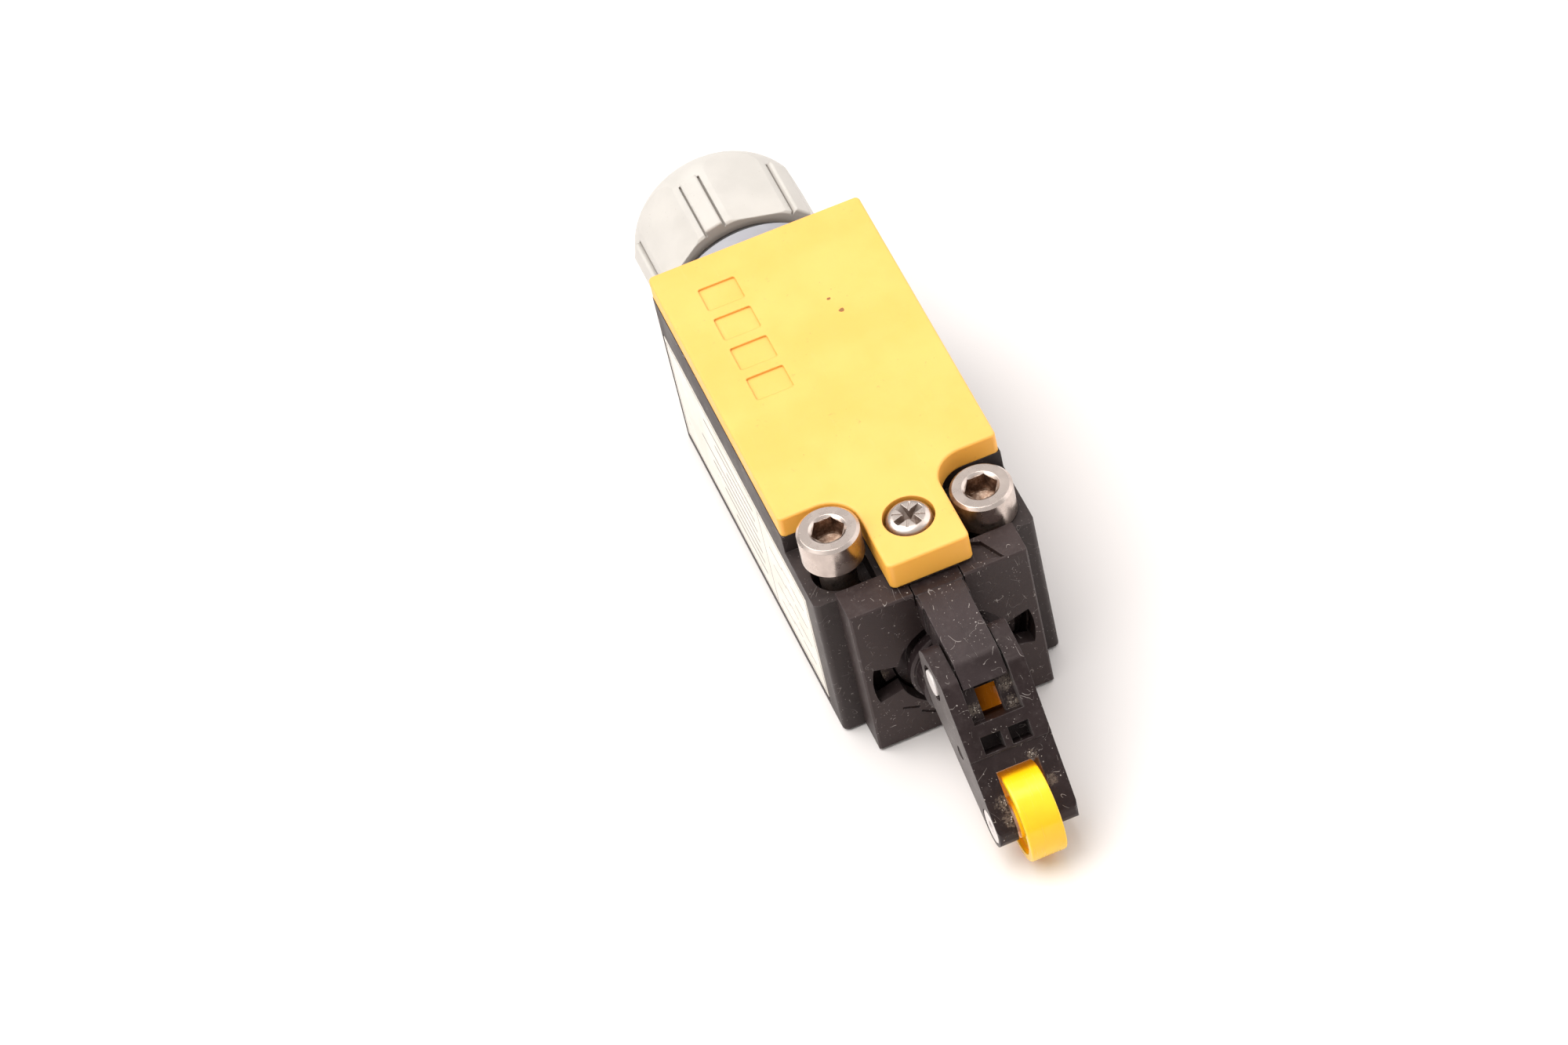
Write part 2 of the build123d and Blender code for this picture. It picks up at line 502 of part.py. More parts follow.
def gland_seal():
    return turned_y([
        (CABLE_R, 66.3), (7.3, 66.3), (7.3, 75.3), (6.5, 80.0), (CABLE_R + 0.6, 80.0), (CABLE_R, 79.4),
    ], GLAND_Z)


def dome_nut():
    nut = hex_prism(GLAND_AF, NUT_Y0, NUT_Y1, GLAND_TURN_DEG)
    dome = make_face(
        Polyline((0, NUT_Y1), (0, NUT_Y0), (NUT_CORNER_R - 0.3, NUT_Y0),
                 (NUT_CORNER_R, NUT_Y0 + 0.3), (NUT_CORNER_R, NUT_RIB_Y1))
        + ThreePointArc((NUT_CORNER_R, NUT_RIB_Y1), (12.15, 79.0), (9.4, NUT_Y1))
        + Line((9.4, NUT_Y1), (0, NUT_Y1))
    )
    nut = nut & Pos(0, 0, GLAND_Z) * revolve(dome, Axis.Y, 360)
    half = NUT_RIB_W / 2
    for k in range(6):
        rib = block(NUT_RIB_R - 2, NUT_RIB_R, NUT_Y0, NUT_RIB_Y1, -half, half)
        rib = fillet(rib.faces().sort_by(Axis.X)[-1].edges(), 0.35)
        groove = block(NUT_RIB_R - 1.1, NUT_RIB_R + 1, NUT_Y0 - 1, NUT_RIB_Y1, -half - 0.3, half + 0.3)
        turn = Pos(0, 0, GLAND_Z) * Rot(0, -GLAND_TURN_DEG + 60 * k, 0)
        nut = nut - turn * groove + turn * rib
    bore = turned_y([
        (0, NUT_Y0 - 1), (NUT_BORE_R, NUT_Y0 - 1), (NUT_BORE_R, 76.0), (8.8, 77.5), (7.9, 79.6),
        (NUT_MOUTH_R, 80.8), (NUT_MOUTH_R + 0.6, NUT_Y1 + 0.1), (0, NUT_Y1 + 0.1),
    ], GLAND_Z)
    return nut - bore


def rating_label():
    x0 = -HALF_W + 0.02
    return block(x0, x0 + LABEL_DEPTH - 0.02, 0.5, FAR_Y - 1.5, 1.9, 21.3)


# ---- write every node ---------------------------------------------------------------------
def main():
    save("housing", housing())
    save("cover_gasket", gasket_ring(0.05))
    save("front_cover", front_cover())
    save("cover_screw", cover_screw())
    save("fixing_screw_left", socket_screw(-FIX_X, SHOULDER_Z + LEFT_PROUD))
    save("fixing_screw_right", socket_screw(FIX_X, SHOULDER_Z))
    save("rating_label", rating_label())
    save("head_block", head_block())
    save("adapter_bracket", adapter_bracket())
    save("adapter_plunger", adapter_plunger())
    save("lever", lever())
    save("lever_pin", lever_pin())
    save("roller_pin", roller_pin())
    save("roller", roller())
    save("contact_base", contact_base())
    save("contact_cap", contact_cap())
    for kind in ("nc", "no"):
        for side in ("left", "right"):
            save(f"fixed_contact_{kind}_{side}", fixed_contact(kind, side))
    save("clamp_plates", clamp_plates())
    save("terminal_screws", terminal_screws())
    save("contact_carrier", contact_carrier())
    nc_y = NC_PAD_Y + 0.02
    no_y = NO_PAD_Y - PLUNGER_TRAVEL - 0.05 - BRIDGE_T
    save("nc_bridge", bridge(nc_y))
    save("no_bridge", bridge(no_y))
    save("nc_bridge_spring", spring_y(1.4, 0.2, nc_y + BRIDGE_T, NC_PAD_Y + 5.4, 4, z=12.0))
    save("no_bridge_spring", spring_y(1.4, 0.2, NO_PAD_Y - PLUNGER_TRAVEL - 5.6, no_y, 4, z=12.0))
    save("return_spring", spring_y(2.3, 0.3, CARRIER_Y1, BASE_Y1 - 1.2, 7, z=11.5))
    save("switch_plunger", switch_plunger())
    save("plunger_seal", plunger_seal())
    save("gland_washer", gland_washer())
    save("gland_body", gland_body())
    save("gland_o_ring", gland_o_ring())
    save("gland_cage", gland_cage())
    save("gland_seal", gland_seal())
    save("dome_nut", dome_nut())


main()
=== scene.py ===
import math
import random

import bpy
import bmesh
from mathutils import Matrix, Vector


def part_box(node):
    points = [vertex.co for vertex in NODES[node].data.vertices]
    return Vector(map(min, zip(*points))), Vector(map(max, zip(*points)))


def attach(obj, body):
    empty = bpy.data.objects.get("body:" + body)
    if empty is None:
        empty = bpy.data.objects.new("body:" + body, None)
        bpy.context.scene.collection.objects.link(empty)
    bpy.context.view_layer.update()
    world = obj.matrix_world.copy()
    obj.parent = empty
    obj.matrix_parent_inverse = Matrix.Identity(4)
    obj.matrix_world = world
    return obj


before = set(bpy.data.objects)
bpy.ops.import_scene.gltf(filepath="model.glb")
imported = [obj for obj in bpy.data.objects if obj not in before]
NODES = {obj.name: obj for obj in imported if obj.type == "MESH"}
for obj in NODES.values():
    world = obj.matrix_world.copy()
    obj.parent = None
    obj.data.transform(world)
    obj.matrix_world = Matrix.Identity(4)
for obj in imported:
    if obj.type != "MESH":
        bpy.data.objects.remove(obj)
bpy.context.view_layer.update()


# ---- camera ---------------------------------------------------------------------------------
SENSOR_WIDTH = 36.0
LENS = 148.79
CAMERA_PLACE = Vector((-0.11948, -0.55611, 0.64541))
CAMERA_AIM = Vector((-0.00941, 0.03427, 0.0))    # where the camera's axis meets the floor
CAMERA_ROLL = math.radians(-13.949)              # about that axis


def make_camera():
    data = bpy.data.cameras.new("camera")
    data.sensor_fit = "HORIZONTAL"
    data.sensor_width = SENSOR_WIDTH
    data.lens = LENS
    data.clip_start = 0.05
    data.clip_end = 20.0
    camera = bpy.data.objects.new("camera", data)
    level = (CAMERA_AIM - CAMERA_PLACE).to_track_quat("-Z", "Y").to_matrix().to_4x4()
    camera.matrix_world = Matrix.Translation(CAMERA_PLACE) @ level @ Matrix.Rotation(CAMERA_ROLL, 4, "Z")
    bpy.context.scene.collection.objects.link(camera)
    bpy.context.scene.camera = camera


# ---- node graph helper ----------------------------------------------------------------------
class Graph:
    """A small wrapper round a material's node tree: values and sockets go in, sockets come out."""

    def __init__(self, name):
        self.material = bpy.data.materials.new(name)
        self.material.use_nodes = True
        self.tree = self.material.node_tree
        self.tree.nodes.clear()
        self.output = self.tree.nodes.new("ShaderNodeOutputMaterial")
        self.shader = self.tree.nodes.new("ShaderNodeBsdfPrincipled")
        self.tree.links.new(self.shader.outputs[0], self.output.inputs[0])
        self.coords = self.tree.nodes.new("ShaderNodeTexCoord").outputs["Object"]

    def put(self, socket, value):
        if isinstance(value, bpy.types.NodeSocket):
            self.tree.links.new(value, socket)
        elif isinstance(value, (tuple, list)) and len(value) == 3 and len(socket.default_value) == 4:
            socket.default_value = (*value, 1.0)
        else:
            socket.default_value = value

    def math(self, operation, a, b=0.0):
        node = self.tree.nodes.new("ShaderNodeMath")
        node.operation = operation
        self.put(node.inputs[0], a)
        self.put(node.inputs[1], b)
        return node.outputs[0]

    def times(self, a, b):
        return self.math("MULTIPLY", a, b)

    def plus(self, a, b):
        return self.math("ADD", a, b)

    def minus(self, a, b):
        return self.math("SUBTRACT", a, b)

    def either(self, a, b):
        return self.math("MAXIMUM", a, b)

    def axes(self, vector):
        """The x, y and z of a vector socket."""
        node = self.tree.nodes.new("ShaderNodeSeparateXYZ")
        self.put(node.inputs[0], vector)
        return node.outputs

    def length(self, x, y):
        return self.math("SQRT", self.plus(self.times(x, x), self.times(y, y)))

    def facing(self):
        """The surface normal's x, y and z, in the frame of the whole scene."""
        return self.axes(self.tree.nodes.new("ShaderNodeNewGeometry").outputs["Normal"])

    def mapping(self, scale=(1, 1, 1), turn=(0, 0, 0), move=(0, 0, 0)):
        node = self.tree.nodes.new("ShaderNodeMapping")
        self.put(node.inputs["Vector"], self.coords)
        node.inputs["Scale"].default_value = scale
        node.inputs["Rotation"].default_value = turn
        node.inputs["Location"].default_value = move
        return node.outputs[0]

    def noise(self, scale, detail=3.0, rough=0.55, coords=None, distortion=0.0):
        """scale is in features per metre."""
        node = self.tree.nodes.new("ShaderNodeTexNoise")
        self.put(node.inputs["Vector"], coords or self.coords)
        node.inputs["Scale"].default_value = scale
        node.inputs["Detail"].default_value = detail
        node.inputs["Roughness"].default_value = rough
        node.inputs["Distortion"].default_value = distortion
        return node.outputs["Fac"]

    def spots(self, scale, inner, outer, patches, coords=None):
        """Small round spots, scale of them in a metre, fading from inner to outer, where patches is 1."""
        node = self.tree.nodes.new("ShaderNodeTexVoronoi")
        self.put(node.inputs["Vector"], coords or self.coords)
        node.inputs["Scale"].default_value = scale
        return self.times(self.band(node.outputs["Distance"], inner, outer, 1.0, 0.0), patches)

    def band(self, value, low, high, to_low=0.0, to_high=1.0):
        """value between low and high becomes to_low to to_high, smoothly and clamped."""
        node = self.tree.nodes.new("ShaderNodeMapRange")
        node.interpolation_type = "SMOOTHSTEP"
        self.put(node.inputs["Value"], value)
        node.inputs["From Min"].default_value = low
        node.inputs["From Max"].default_value = high
        node.inputs["To Min"].default_value = to_low
        node.inputs["To Max"].default_value = to_high
        return node.outputs[0]

    def mix(self, factor, a, b):
        node = self.tree.nodes.new("ShaderNodeMix")
        node.data_type = "RGBA"
        self.put(node.inputs[0], factor)
        self.put(node.inputs[6], a)
        self.put(node.inputs[7], b)
        return node.outputs[2]

    def blend(self, factor, a, b):
        node = self.tree.nodes.new("ShaderNodeMix")
        node.data_type = "FLOAT"
        self.put(node.inputs[0], factor)
        self.put(node.inputs[2], a)
        self.put(node.inputs[3], b)
        return node.outputs[0]

    def upward(self):
        """1 on faces that look straight up, 0 on upright ones."""
        return self.either(self.facing()[2], 0.0)

    def sideways(self):
        """1 on faces that look to the left or the right."""
        return self.band(self.math("ABSOLUTE", self.facing()[0]), 0.75, 0.98)

    def rounded(self, radius):
        """The normal of a surface whose edges have that radius."""
        node = self.tree.nodes.new("ShaderNodeBevel")
        node.samples = 4
        node.inputs["Radius"].default_value = radius
        return node.outputs[0]

    def edges(self, radius):
        """1 along outer and inner edges, in a strip as wide as radius."""
        geometry = self.tree.nodes.new("ShaderNodeNewGeometry")
        dot = self.tree.nodes.new("ShaderNodeVectorMath")
        dot.operation = "DOT_PRODUCT"
        self.put(dot.inputs[0], self.rounded(radius))
        self.put(dot.inputs[1], geometry.outputs["Normal"])
        return self.band(self.minus(1.0, dot.outputs["Value"]), 0.02, 0.25)

    def open_sides(self, distance):
        """1 out in the open, 0 deep in a corner."""
        node = self.tree.nodes.new("ShaderNodeAmbientOcclusion")
        node.samples = 8
        node.inputs["Distance"].default_value = distance
        return node.outputs["AO"]

    def near(self, place, reach):
        """1 at an (x, y, z) place, falling to 0 at that reach."""
        node = self.tree.nodes.new("ShaderNodeVectorMath")
        node.operation = "DISTANCE"
        self.put(node.inputs[0], self.coords)
        node.inputs[1].default_value = place
        return self.band(node.outputs["Value"], 0.25 * reach, reach, 1.0, 0.0)

    def dot(self, place, reach):
        """1 inside a ragged spot of that reach round an (x, y) place."""
        x, y, _z = self.axes(self.coords)
        away = self.length(self.minus(x, place[0]), self.minus(y, place[1]))
        ragged = self.times(self.minus(self.noise(2600, 2), 0.5), reach)
        return self.band(self.plus(away, ragged), 0.75 * reach, reach, 1.0, 0.0)

    def bump(self, height, depth, normal=None):
        node = self.tree.nodes.new("ShaderNodeBump")
        node.inputs["Distance"].default_value = depth
        self.put(node.inputs["Height"], height)
        if normal is not None:
            self.put(node.inputs["Normal"], normal)
        return node.outputs[0]

    def finish(self, **sockets):
        """Sets the shader's sockets, named with _ for a space, and gives back the material."""
        for name, value in sockets.items():
            self.put(self.shader.inputs[name.replace("_", " ")], value)
        return self.material


# ---- materials: colours are linear red, green and blue ----------------------------------------
DUST_FILM = (0.105, 0.088, 0.085)
WORN_EDGE = (0.17, 0.155, 0.155)
# painted sheen colour for faces that look to the left or right
PAINTED_SIDE_SHEEN = (0.16, 0.142, 0.138)
PALE_MARK = (0.50, 0.45, 0.42)
CORNER_GRIT = (0.22, 0.165, 0.115)
CAKED_DUST = (0.28, 0.225, 0.18)
WARM_SHINE = (1.0, 0.86, 0.85)


def lint(g, scale, width, keep, seed):
    """Fine light scratches and fibres: thin bent lines, kept only in scattered patches."""
    bent = g.mapping(scale=(1.0, 0.35, 1.0), turn=(0.3 * seed, 0.7, 1.1 * seed), move=(seed, 0, 0))
    line = g.noise(scale, 1.0, 0.4, bent, 0.6)
    line = g.band(g.math("ABSOLUTE", g.minus(line, 0.5)), 0.0, width, 1.0, 0.0)
    patch = g.band(g.noise(scale * 1.7, 2.0, 0.5, g.mapping(move=(0.3 * seed, 0.1, 0))), keep, keep + 0.06)
    return g.times(line, patch)


def black_plastic(name, dark, light, dust, rough, seed=1.0, dusty=(), painted_side_sheen=0.0, shine=0.42):
    """dusty lists the (place, reach) of each spot where pale dust has caked.

    The argument after dusty sets how strongly a painted sheen lightens the faces that look to the left or
    right.
    """
    g = Graph(name)
    tone = g.noise(160, 4, 0.6)
    colour = g.mix(g.band(tone, 0.3, 0.75), dark, light)
    fine = g.spots(2300, 0.08, 0.20, g.band(g.noise(420, 2), 0.50, 0.66))
    coarse_patches = g.band(g.noise(210, 2, 0.5, g.mapping(move=(0, seed, 0))), 0.51, 0.60)
    coarse = g.spots(1050, 0.07, 0.14, coarse_patches, g.mapping(move=(seed, 0.2, 0)))
    flecks = g.either(g.times(fine, 0.7), g.times(coarse, 0.85))
    lines = g.either(lint(g, 420, 0.006, 0.56, seed), lint(g, 260, 0.003, 0.54, seed + 1.7))
    lines = g.times(lines, 0.75)
    film = g.times(g.band(g.noise(700, 5, 0.75), 0.45, 0.85), g.upward())
    edge = g.times(g.edges(0.00022), g.band(g.noise(650, 3), 0.36, 0.62))
    colour = g.mix(g.times(film, 0.35 * dust), colour, DUST_FILM)
    colour = g.mix(g.times(edge, 0.5), colour, WORN_EDGE)
    # painted sheen: faces that look to the left or right are lightened
    colour = g.mix(g.times(g.sideways(), painted_side_sheen), colour, PAINTED_SIDE_SHEEN)
    marks = g.either(flecks, lines)
    colour = g.mix(g.times(marks, min(1.0, 0.85 * dust)), colour, PALE_MARK)
    caught = g.band(g.open_sides(0.0018), 0.25, 0.75, 1.0, 0.0)
    clumps = g.noise(2600, 5, 0.8)
    grit = g.times(caught, g.band(clumps, 0.52, 0.64))
    colour = g.mix(g.times(grit, 0.30 * dust), colour, CORNER_GRIT)
    for place, reach in dusty:
        caked = g.band(g.plus(g.times(g.near(place, reach), 0.30), clumps), 0.70, 0.86)
        caked = g.times(caked, g.band(g.near(place, reach), 0.0, 0.15))
        colour = g.mix(g.times(caked, 0.40), colour, CAKED_DUST)
    texture = g.noise(5200, 2.0, 0.5)
    height = g.plus(g.times(texture, 0.7), g.times(marks, 0.8))
    roughness = g.blend(g.band(tone, 0.3, 0.7), rough - 0.06, rough + 0.08)
    roughness = g.blend(film, roughness, 0.72)
    return g.finish(
        Base_Color=colour,
        Roughness=roughness,
        Specular_IOR_Level=shine,
        Specular_Tint=WARM_SHINE,
        Normal=g.bump(height, 0.00002, g.rounded(0.00018)),
    )


# painted shade: the sides get a more orange shaded copy of the yellow, the top its lit copy
COVER_SIDE_PAINTED_SHADE = (0.93, 0.450, 0.066)
COVER_TOP_LIT = ((0.87, 0.428, 0.090), (0.91, 0.458, 0.108))
COVER_STREAK = (0.92, 0.50, 0.16)
COVER_STAIN = (0.38, 0.20, 0.06)
COVER_PIT = (0.12, 0.06, 0.03)
# painted shade colour for corners and recesses
COVER_CORNER_SHADE = (0.56, 0.27, 0.035)
COVER_SPOT = (0.16, 0.06, 0.02)
COVER_SPOTS = (((0.00486, 0.04015), 0.00030), ((0.00570, 0.03735), 0.00042))    # (x, y) place and reach


def yellow_cover():
    g = Graph("cover_yellow")
    tone = g.noise(110, 4, 0.55)
    top = g.mix(g.band(tone, 0.3, 0.7), *COVER_TOP_LIT)
    # painted shade: faces that look sideways take the shaded orange, upward faces the lit yellow
    colour = g.mix(g.band(g.upward(), 0.3, 0.9), COVER_SIDE_PAINTED_SHADE, top)
    streak = g.noise(900, 3, 0.6, g.mapping(scale=(1, 0.12, 1)))
    colour = g.mix(g.band(streak, 0.62, 0.85, 0.0, 0.35), colour, COVER_STREAK)
    stain = g.times(g.band(g.noise(1300, 4, 0.7), 0.60, 0.72), g.band(g.noise(190, 2), 0.5, 0.66))
    colour = g.mix(g.times(stain, 0.5), colour, COVER_STAIN)
    pit_patches = g.band(g.noise(95, 1, 0.5, g.mapping(move=(0.4, 0.2, 0))), 0.60, 0.63)
    pit = g.spots(620, 0.030, 0.055, pit_patches)
    colour = g.mix(g.times(pit, 0.85), colour, COVER_PIT)
    # painted shade: corners and recesses turn a darker orange
    corner = g.band(g.open_sides(0.0012), 0.3, 0.8, 1.0, 0.0)
    colour = g.mix(g.times(corner, 0.55), colour, COVER_CORNER_SHADE)
    for place, reach in COVER_SPOTS:
        colour = g.mix(g.times(g.dot(place, reach), 0.85), colour, COVER_SPOT)
    texture = g.noise(3600, 2, 0.55)
    height = g.minus(g.times(texture, 0.6), pit)
    return g.finish(
        Base_Color=colour,
        Roughness=g.blend(g.band(tone, 0.3, 0.7), 0.40, 0.52),
        Subsurface_Weight=0.12,
        Subsurface_Radius=(0.0012, 0.0005, 0.0001),
        Subsurface_Scale=1.0,
        Normal=g.bump(height, 0.000012, g.rounded(0.0003)),
    )


GLOSS_RING = (0.50, 0.20, 0.01)
# painted shade colour for the recesses of the yellow plastic
GLOSS_RECESS_SHADE = (0.80, 0.25, 0.006)
GLOSS_GRIME = (0.22, 0.08, 0.01)
GLOSS_EDGE = (0.30, 0.20, 0.05)
# colour of a painted emission, as if light shone through the plastic
PAINTED_GLOW = (1.0, 0.30, 0.012)


def yellow_gloss(name, seed, base=(0.88, 0.490, 0.010), light=(0.92, 0.535, 0.018), painted_glow=0.0, aside=False):
    """The argument after light sets a painted emission, standing in for light shining through the plastic:
    more in its recesses, or to the right if aside.
    """
    g = Graph(name)
    tone = g.noise(260, 3, 0.5, g.mapping(move=(seed, 0, 0)))
    colour = g.mix(g.band(tone, 0.3, 0.7), base, light)
    ring = g.noise(900, 3, 0.6, g.mapping(scale=(4.0, 0.3, 0.3), move=(seed, 0, 0)))
    colour = g.mix(g.band(ring, 0.60, 0.80, 0.0, 0.30), colour, GLOSS_RING)
    deep = g.band(g.open_sides(0.0014), 0.30, 0.85, 1.0, 0.0)
    # painted shade: recesses turn a darker, more orange yellow
    colour = g.mix(g.times(deep, 0.75), colour, GLOSS_RECESS_SHADE)
    recess_darkening = g.times(deep, g.band(g.noise(1400, 3), 0.56, 0.70))
    colour = g.mix(g.times(recess_darkening, 0.3), colour, GLOSS_GRIME)
    edge = g.times(g.edges(0.0002), g.band(g.noise(900, 3), 0.45, 0.6))
    colour = g.mix(g.times(edge, 0.4), colour, GLOSS_EDGE)
    # painted light: emission in the recesses, or rising toward the right
    through = g.band(g.axes(g.coords)[0], -0.0010, 0.0014) if aside else deep
    return g.finish(
        Emission_Color=PAINTED_GLOW,
        Emission_Strength=g.times(through, painted_glow),
        Base_Color=colour,
        Roughness=g.blend(g.band(ring, 0.4, 0.8), 0.16, 0.34),
        Subsurface_Weight=0.15,
        Subsurface_Radius=(0.0012, 0.0006, 0.0001),
        Subsurface_Scale=1.0,
        Coat_Weight=0.12,
        Coat_Roughness=0.12,
        Normal=g.bump(ring, 0.000006, g.rounded(0.00015)),
    )


STEEL = (0.64, 0.55, 0.50)
STEEL_STAIN = (0.125, 0.068, 0.042)
STEEL_SPOT = (0.24, 0.18, 0.15)
RUSTY_SOCKET = ((0.20, 0.125, 0.088), (0.42, 0.31, 0.24))


def machined_steel(name, centre, tint=STEEL, rust=0.85, seed=0.0, socket=None, metal=1.0, rough=0.20):
    """Turned steel: fine rings round an upright axis through the centre, and stains in the corners.

    socket is the reach and the top height of a rusty socket.
    """
    g = Graph(name)
    x, y, z = g.axes(g.mapping(move=(-centre[0], -centre[1], 0.0)))
    across = g.length(x, y)
    join = g.tree.nodes.new("ShaderNodeCombineXYZ")
    g.put(join.inputs[0], across)
    g.put(join.inputs[2], z)
    rings = g.noise(9000, 2, 0.6, join.outputs[0])
    patches = g.noise(380, 4, 0.6, g.mapping(move=(seed, 0, 0)))
    colour = g.mix(g.band(patches, 0.3, 0.7), tint, tuple(c * 0.82 for c in tint))
    deep = g.band(g.open_sides(0.0026), 0.30, 0.85, 1.0, 0.0)
    stain = g.times(deep, g.band(g.noise(900, 4, 0.65), 0.22, 0.58))
    colour = g.mix(g.times(stain, rust), colour, STEEL_STAIN)
    if socket:
        reach, height = socket
        inside = g.times(g.band(across, reach, 1.06 * reach, 1.0, 0.0),
                         g.band(z, height - 0.0004, height - 0.0002, 1.0, 0.0))
        brown = g.mix(g.band(g.noise(1500, 4, 0.7), 0.40, 0.66), *RUSTY_SOCKET)
        colour = g.mix(inside, colour, brown)
    spots = g.spots(2100, 0.08, 0.16, g.band(g.noise(500, 2), 0.52, 0.62))
    colour = g.mix(g.times(spots, 0.6), colour, STEEL_SPOT)
    roughness = g.blend(g.band(patches, 0.3, 0.75), rough, rough + 0.20)
    roughness = g.blend(stain, roughness, 0.6)
    relief = g.minus(g.times(rings, 0.8), spots)
    return g.finish(
        Base_Color=colour,
        Metallic=metal,
        Roughness=roughness,
        Normal=g.bump(relief, 0.000006, g.rounded(0.00012)),
    )


# painted shade colour for corners and recesses
GLAND_CORNER_SHADE = (0.20, 0.16, 0.13)
GLAND_SPECK = (0.25, 0.20, 0.16)


def gland_plastic(name, base, shade, rough, seed):
    g = Graph(name)
    tone = g.noise(150, 4, 0.55, g.mapping(move=(seed, 0, 0)))
    colour = g.mix(g.band(tone, 0.3, 0.7), base, shade)
    scuff = g.noise(1000, 4, 0.65, g.mapping(scale=(1, 0.2, 1), move=(seed, 0, 0)))
    colour = g.mix(g.band(scuff, 0.62, 0.85, 0.0, 0.35), colour, tuple(min(1.0, c * 1.25) for c in base))
    # painted shade: darker in corners and recesses, such as under the nut's rim
    recess_darkening = g.band(g.open_sides(0.0012), 0.35, 0.80, 1.0, 0.0)
    colour = g.mix(g.times(recess_darkening, 0.55), colour, GLAND_CORNER_SHADE)
    specks = g.spots(1700, 0.07, 0.13, g.band(g.noise(400, 2), 0.55, 0.66))
    colour = g.mix(g.times(specks, 0.5), colour, GLAND_SPECK)
    height = g.plus(g.times(g.noise(3800, 2), 0.5), g.times(scuff, 0.4))
    return g.finish(
        Base_Color=colour,
        Roughness=g.blend(g.band(tone, 0.3, 0.7), rough, rough + 0.12),
        Subsurface_Weight=0.10,
        Subsurface_Radius=(0.0008, 0.0008, 0.0008),
        Subsurface_Scale=1.0,
        Normal=g.bump(height, 0.000010, g.rounded(0.0003)),
    )


def label_film():
    g = Graph("label_film")
    tone = g.noise(120, 4, 0.6)
    colour = g.mix(g.band(tone, 0.3, 0.75), (0.80, 0.755, 0.68), (0.71, 0.665, 0.59))
    scrape = lint(g, 260, 0.01, 0.5, 2.0)
    colour = g.mix(g.times(scrape, 0.5), colour, (0.42, 0.37, 0.33))
    smudge = g.band(g.noise(520, 5, 0.7), 0.55, 0.78, 0.0, 0.35)
    colour = g.mix(smudge, colour, (0.56, 0.50, 0.44))
    wavy = g.noise(300, 2)
    return g.finish(Base_Color=colour, Roughness=g.blend(g.band(tone, 0.3, 0.7), 0.26, 0.42),
                    Normal=g.bump(wavy, 0.00003))


def printed_ink():
    g = Graph("label_ink")
    fade = g.noise(1100, 3)
    colour = g.mix(g.band(fade, 0.35, 0.75), (0.19, 0.175, 0.165), (0.32, 0.30, 0.28))
    return g.finish(Base_Color=colour, Roughness=g.blend(g.band(fade, 0.3, 0.7), 0.4, 0.6))


def rubber():
    g = Graph("rubber_dark")
    tone = g.noise(500, 4)
    colour = g.mix(g.band(tone, 0.3, 0.7), (0.022, 0.021, 0.021), (0.05, 0.047, 0.045))
    bloom = g.band(g.noise(1500, 4, 0.7), 0.58, 0.76, 0.0, 0.4)
    colour = g.mix(bloom, colour, (0.16, 0.15, 0.14))
    return g.finish(Base_Color=colour, Roughness=g.blend(g.band(tone, 0.3, 0.7), 0.58, 0.76),
                    Normal=g.bump(g.noise(4200, 2), 0.000014, g.rounded(0.0002)))


def contact_brass():
    g = Graph("contact_brass")
    tone = g.noise(420, 4)
    colour = g.mix(g.band(tone, 0.3, 0.7), (0.80, 0.58, 0.26), (0.66, 0.44, 0.18))
    brushed = g.noise(3000, 2, 0.6, g.mapping(scale=(0.15, 1, 1)))
    return g.finish(Base_Color=colour, Metallic=1.0,
                    Roughness=g.blend(g.band(brushed, 0.3, 0.7), 0.22, 0.42),
                    Normal=g.bump(brushed, 0.000008, g.rounded(0.0001)))


def moulded_cream():
    g = Graph("contact_block_cream")
    tone = g.noise(240, 4)
    colour = g.mix(g.band(tone, 0.3, 0.7), (0.58, 0.54, 0.44), (0.66, 0.62, 0.52))
    return g.finish(Base_Color=colour, Roughness=g.blend(g.band(tone, 0.3, 0.7), 0.45, 0.6),
                    Normal=g.bump(g.noise(3600, 2), 0.000012, g.rounded(0.0002)))


def spring_wire():
    g = Graph("spring_wire")
    tone = g.noise(900, 3)
    colour = g.mix(g.band(tone, 0.3, 0.7), (0.62, 0.62, 0.63), (0.46, 0.46, 0.48))
    return g.finish(Base_Color=colour, Metallic=1.0, Roughness=g.blend(g.band(tone, 0.3, 0.7), 0.22, 0.36))


# ---- dust: each row is a place, the reach of its stain, the reach of its grains and their number ----
LEVER_DUST = (
    ((0.0026, -0.0244, 0.0204), 0.0022, 0.0010, 24),
    ((0.0026, -0.0260, 0.0184), 0.0018, 0.0008, 14),
    ((-0.0024, -0.0255, 0.0190), 0.0019, 0.0009, 18),
    ((0.0023, -0.0320, 0.0143), 0.0014, 0.0006, 8),
    ((-0.0032, -0.0349, 0.0107), 0.0024, 0.0010, 18),
    ((-0.0032, -0.0363, 0.0090), 0.0022, 0.0010, 16),
    ((0.0034, -0.0345, 0.0112), 0.0018, 0.0, 0),
)
LOBE_DUST = (((-0.0098, -0.0074, 0.0112), 0.0024, 0.0012, 24),)
HEAD_TOP_DUST = (((-0.0060, -0.0070, 0.0264), 0.0, 0.0030, 10),)
ARM_DUST = (((0.0012, -0.0236, 0.0218), 0.0019, 0.0, 0), ((-0.0012, -0.0236, 0.0218), 0.0013, 0.0, 0))
LEVER_TOP = (0.0, -0.777, 0.63)      # the way the top of the lever looks
FORWARD = (0.0, -1.0, 0.0)
UP = (0.0, 0.0, 1.0)


def stains(rows):
    return [(place, stain_reach) for place, stain_reach, _grain_reach, _grains in rows]


